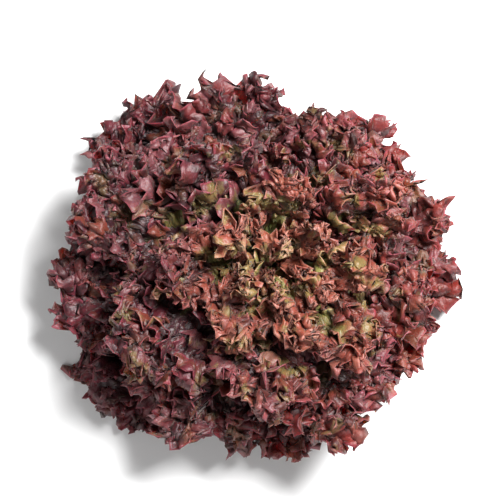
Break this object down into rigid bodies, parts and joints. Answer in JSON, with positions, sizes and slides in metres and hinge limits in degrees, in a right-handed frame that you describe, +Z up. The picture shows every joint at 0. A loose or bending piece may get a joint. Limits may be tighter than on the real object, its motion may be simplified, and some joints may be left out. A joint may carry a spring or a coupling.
{
  "type": "lollo rosso lettuce",
  "caption": "Loose-leaf head of red frilled lettuce: a rosette of waved, toothed leaves round a short cut stem, standing on its cut face.",
  "frame": {"origin": "middle of the stem's cut face, which stands on the table", "axes": "+Z up along the stem, -Y towards the viewer of the picture, +X to the viewer's right"},
  "size_m": [0.3355, 0.3134, 0.1357],
  "materials": {
    "stem_flesh": "pale green-white stem flesh with a dry brown cut face",
    "outer_blade": "dark wine-red leaf, satin, waxy",
    "inner_blade": "red-brown leaf, satin, waxy",
    "heart_blade": "young salmon-red leaf, olive green towards its rib"
  },
  "bodies": {
    "root": {"stem": "stem_flesh", "leaf_01": "outer_blade", "leaf_02": "outer_blade", "leaf_03": "outer_blade", "leaf_04": "outer_blade", "leaf_05": "outer_blade", "leaf_06": "outer_blade", "leaf_07": "outer_blade", "leaf_08": "outer_blade", "leaf_09": "outer_blade", "leaf_10": "outer_blade", "leaf_11": "outer_blade", "leaf_12": "outer_blade", "leaf_13": "inner_blade", "leaf_14": "inner_blade", "leaf_15": "inner_blade", "leaf_16": "inner_blade", "leaf_17": "inner_blade", "leaf_18": "inner_blade", "leaf_19": "inner_blade", "leaf_20": "inner_blade", "leaf_21": "inner_blade", "leaf_22": "inner_blade", "leaf_23": "heart_blade", "leaf_24": "heart_blade", "leaf_25": "heart_blade", "leaf_26": "heart_blade", "leaf_27": "heart_blade", "leaf_28": "heart_blade", "leaf_29": "heart_blade", "leaf_30": "heart_blade"}
  },
  "joints": []
}
